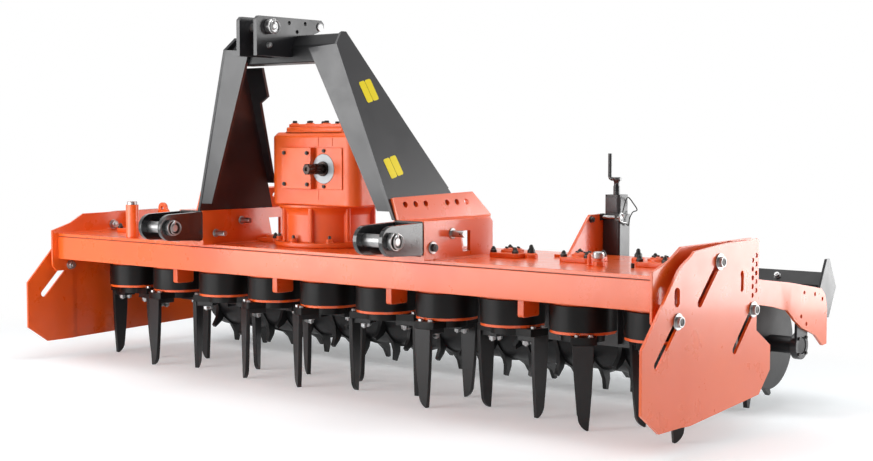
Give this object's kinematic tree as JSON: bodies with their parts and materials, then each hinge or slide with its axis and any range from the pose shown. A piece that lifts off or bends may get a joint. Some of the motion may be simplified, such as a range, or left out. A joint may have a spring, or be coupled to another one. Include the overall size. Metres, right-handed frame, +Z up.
{
  "type": "power harrow",
  "caption": "Tractor-mounted power harrow with vertical rotors and paired blades, an orange gear trough, sliding side plates, a black headstock and a toothed packer roller.",
  "frame": {"origin": "On the floor, under the middle of the whole machine as it stands on its blade tips and packer teeth.", "axes": "+X runs along the machine's length to its right-hand end, -Y is the tractor side, +Z is up."},
  "size_m": [2.638, 1.21, 1.16],
  "materials": {
    "orange_paint": "gloss",
    "black_paint": "satin",
    "blade_steel": "satin",
    "zinc_steel": "satin",
    "dark_steel": "satin"
  },
  "bodies": {
    "frame": {"bearing_caps": "orange_paint", "bearing_flanges": "orange_paint", "bracket_bolts": "zinc_steel", "depth_sectors": "orange_paint", "end_bolts": "zinc_steel", "gear_train": "dark_steel", "gear_trough": "orange_paint", "gearbox_column": "orange_paint", "gearbox_covers": "orange_paint", "gearbox_housing": "orange_paint", "headstock_crossbeam": "black_paint", "headstock_leg_left": "black_paint", "headstock_leg_right": "black_paint", "hitch_bracket_left": "orange_paint", "hitch_bracket_right": "orange_paint", "hitch_clevises": "black_paint", "input_seal": "dark_steel", "jack_cranks": "black_paint", "jack_gussets": "orange_paint", "jack_tubes": "black_paint", "lifting_eye": "orange_paint", "link_pins": "zinc_steel", "marker_post": "orange_paint", "oil_breather": "zinc_steel", "stone_lugs": "orange_paint", "top_link_bracket": "black_paint", "trough_cover": "orange_paint", "trough_ends": "orange_paint"},
    "rotor_01_body": {"rotor_01": "black_paint", "tine_pair_01": "blade_steel"},
    "rotor_02_body": {"rotor_02": "black_paint", "tine_pair_02": "blade_steel"},
    "rotor_03_body": {"rotor_03": "black_paint", "tine_pair_03": "blade_steel"},
    "rotor_04_body": {"rotor_04": "black_paint", "tine_pair_04": "blade_steel"},
    "rotor_05_body": {"rotor_05": "black_paint", "tine_pair_05": "blade_steel"},
    "rotor_06_body": {"rotor_06": "black_paint", "tine_pair_06": "blade_steel"},
    "rotor_07_body": {"rotor_07": "black_paint", "tine_pair_07": "blade_steel"},
    "rotor_08_body": {"rotor_08": "black_paint", "tine_pair_08": "blade_steel"},
    "rotor_09_body": {"rotor_09": "black_paint", "tine_pair_09": "blade_steel"},
    "rotor_10_body": {"rotor_10": "black_paint", "tine_pair_10": "blade_steel"},
    "drive_input": {"input_shaft": "dark_steel"},
    "right_side_plate": {"side_plate_right": "orange_paint"},
    "left_side_plate": {"side_plate_left": "orange_paint"},
    "roller_frame": {"roller_arm_left": "orange_paint", "roller_arm_right": "orange_paint", "roller_beam": "black_paint", "beam_ends": "black_paint", "scrapers": "black_paint", "roller_bearings": "black_paint"},
    "roller": {"packer_roller": "black_paint", "packer_rings": "black_paint"},
    "leveller": {"levelling_bar": "black_paint"}
  },
  "joints": [
    {"name": "rotor_01_turn", "type": "hinge", "parent": "frame", "child": "rotor_01_body", "pos_m": [-1.125, -0.13903, 0.3], "axis": [0, 0, 1], "continuous": true},
    {"name": "rotor_02_turn", "type": "hinge", "parent": "frame", "child": "rotor_02_body", "pos_m": [-0.875, -0.13903, 0.3], "axis": [0, 0, 1], "continuous": true},
    {"name": "rotor_03_turn", "type": "hinge", "parent": "frame", "child": "rotor_03_body", "pos_m": [-0.625, -0.13903, 0.3], "axis": [0, 0, 1], "continuous": true},
    {"name": "rotor_04_turn", "type": "hinge", "parent": "frame", "child": "rotor_04_body", "pos_m": [-0.375, -0.13903, 0.3], "axis": [0, 0, 1], "continuous": true},
    {"name": "rotor_05_turn", "type": "hinge", "parent": "frame", "child": "rotor_05_body", "pos_m": [-0.125, -0.13903, 0.3], "axis": [0, 0, 1], "continuous": true},
    {"name": "rotor_06_turn", "type": "hinge", "parent": "frame", "child": "rotor_06_body", "pos_m": [0.125, -0.13903, 0.3], "axis": [0, 0, 1], "continuous": true},
    {"name": "rotor_07_turn", "type": "hinge", "parent": "frame", "child": "rotor_07_body", "pos_m": [0.375, -0.13903, 0.3], "axis": [0, 0, 1], "continuous": true},
    {"name": "rotor_08_turn", "type": "hinge", "parent": "frame", "child": "rotor_08_body", "pos_m": [0.625, -0.13903, 0.3], "axis": [0, 0, 1], "continuous": true},
    {"name": "rotor_09_turn", "type": "hinge", "parent": "frame", "child": "rotor_09_body", "pos_m": [0.875, -0.13903, 0.3], "axis": [0, 0, 1], "continuous": true},
    {"name": "rotor_10_turn", "type": "hinge", "parent": "frame", "child": "rotor_10_body", "pos_m": [1.125, -0.13903, 0.3], "axis": [0, 0, 1], "continuous": true},
    {"name": "input_shaft_turn", "type": "hinge", "parent": "frame", "child": "drive_input", "pos_m": [0, -0.32903, 0.708], "axis": [0, 1, 0], "continuous": true},
    {"name": "right_side_plate_slide", "type": "slide", "parent": "frame", "child": "right_side_plate", "axis": [0, 0.6972, 0.7169], "range_m": [0, 0.138]},
    {"name": "left_side_plate_slide", "type": "slide", "parent": "frame", "child": "left_side_plate", "axis": [0, 0.6972, 0.7169], "range_m": [0, 0.138]},
    {"name": "roller_frame_swing", "type": "hinge", "parent": "frame", "child": "roller_frame", "pos_m": [0, -0.19903, 0.42], "axis": [1, 0, 0], "range_deg": [0, 12]},
    {"name": "packer_roller_turn", "type": "hinge", "parent": "roller_frame", "child": "roller", "pos_m": [0, 0.38598, 0.2], "axis": [1, 0, 0], "continuous": true},
    {"name": "levelling_bar_slide", "type": "slide", "parent": "frame", "child": "leveller", "axis": [0, 0, 1], "range_m": [-0.11, 0.04]}
  ],
  "couplings": [
    {"joint": "rotor_01_turn", "follows": "rotor_05_turn", "ratio": 1},
    {"joint": "rotor_02_turn", "follows": "rotor_05_turn", "ratio": -1},
    {"joint": "rotor_03_turn", "follows": "rotor_05_turn", "ratio": 1},
    {"joint": "rotor_04_turn", "follows": "rotor_05_turn", "ratio": -1},
    {"joint": "rotor_06_turn", "follows": "rotor_05_turn", "ratio": -1},
    {"joint": "rotor_07_turn", "follows": "rotor_05_turn", "ratio": 1},
    {"joint": "rotor_08_turn", "follows": "rotor_05_turn", "ratio": -1},
    {"joint": "rotor_09_turn", "follows": "rotor_05_turn", "ratio": 1},
    {"joint": "rotor_10_turn", "follows": "rotor_05_turn", "ratio": -1},
    {"joint": "input_shaft_turn", "follows": "rotor_05_turn", "ratio": 1.625}
  ]
}
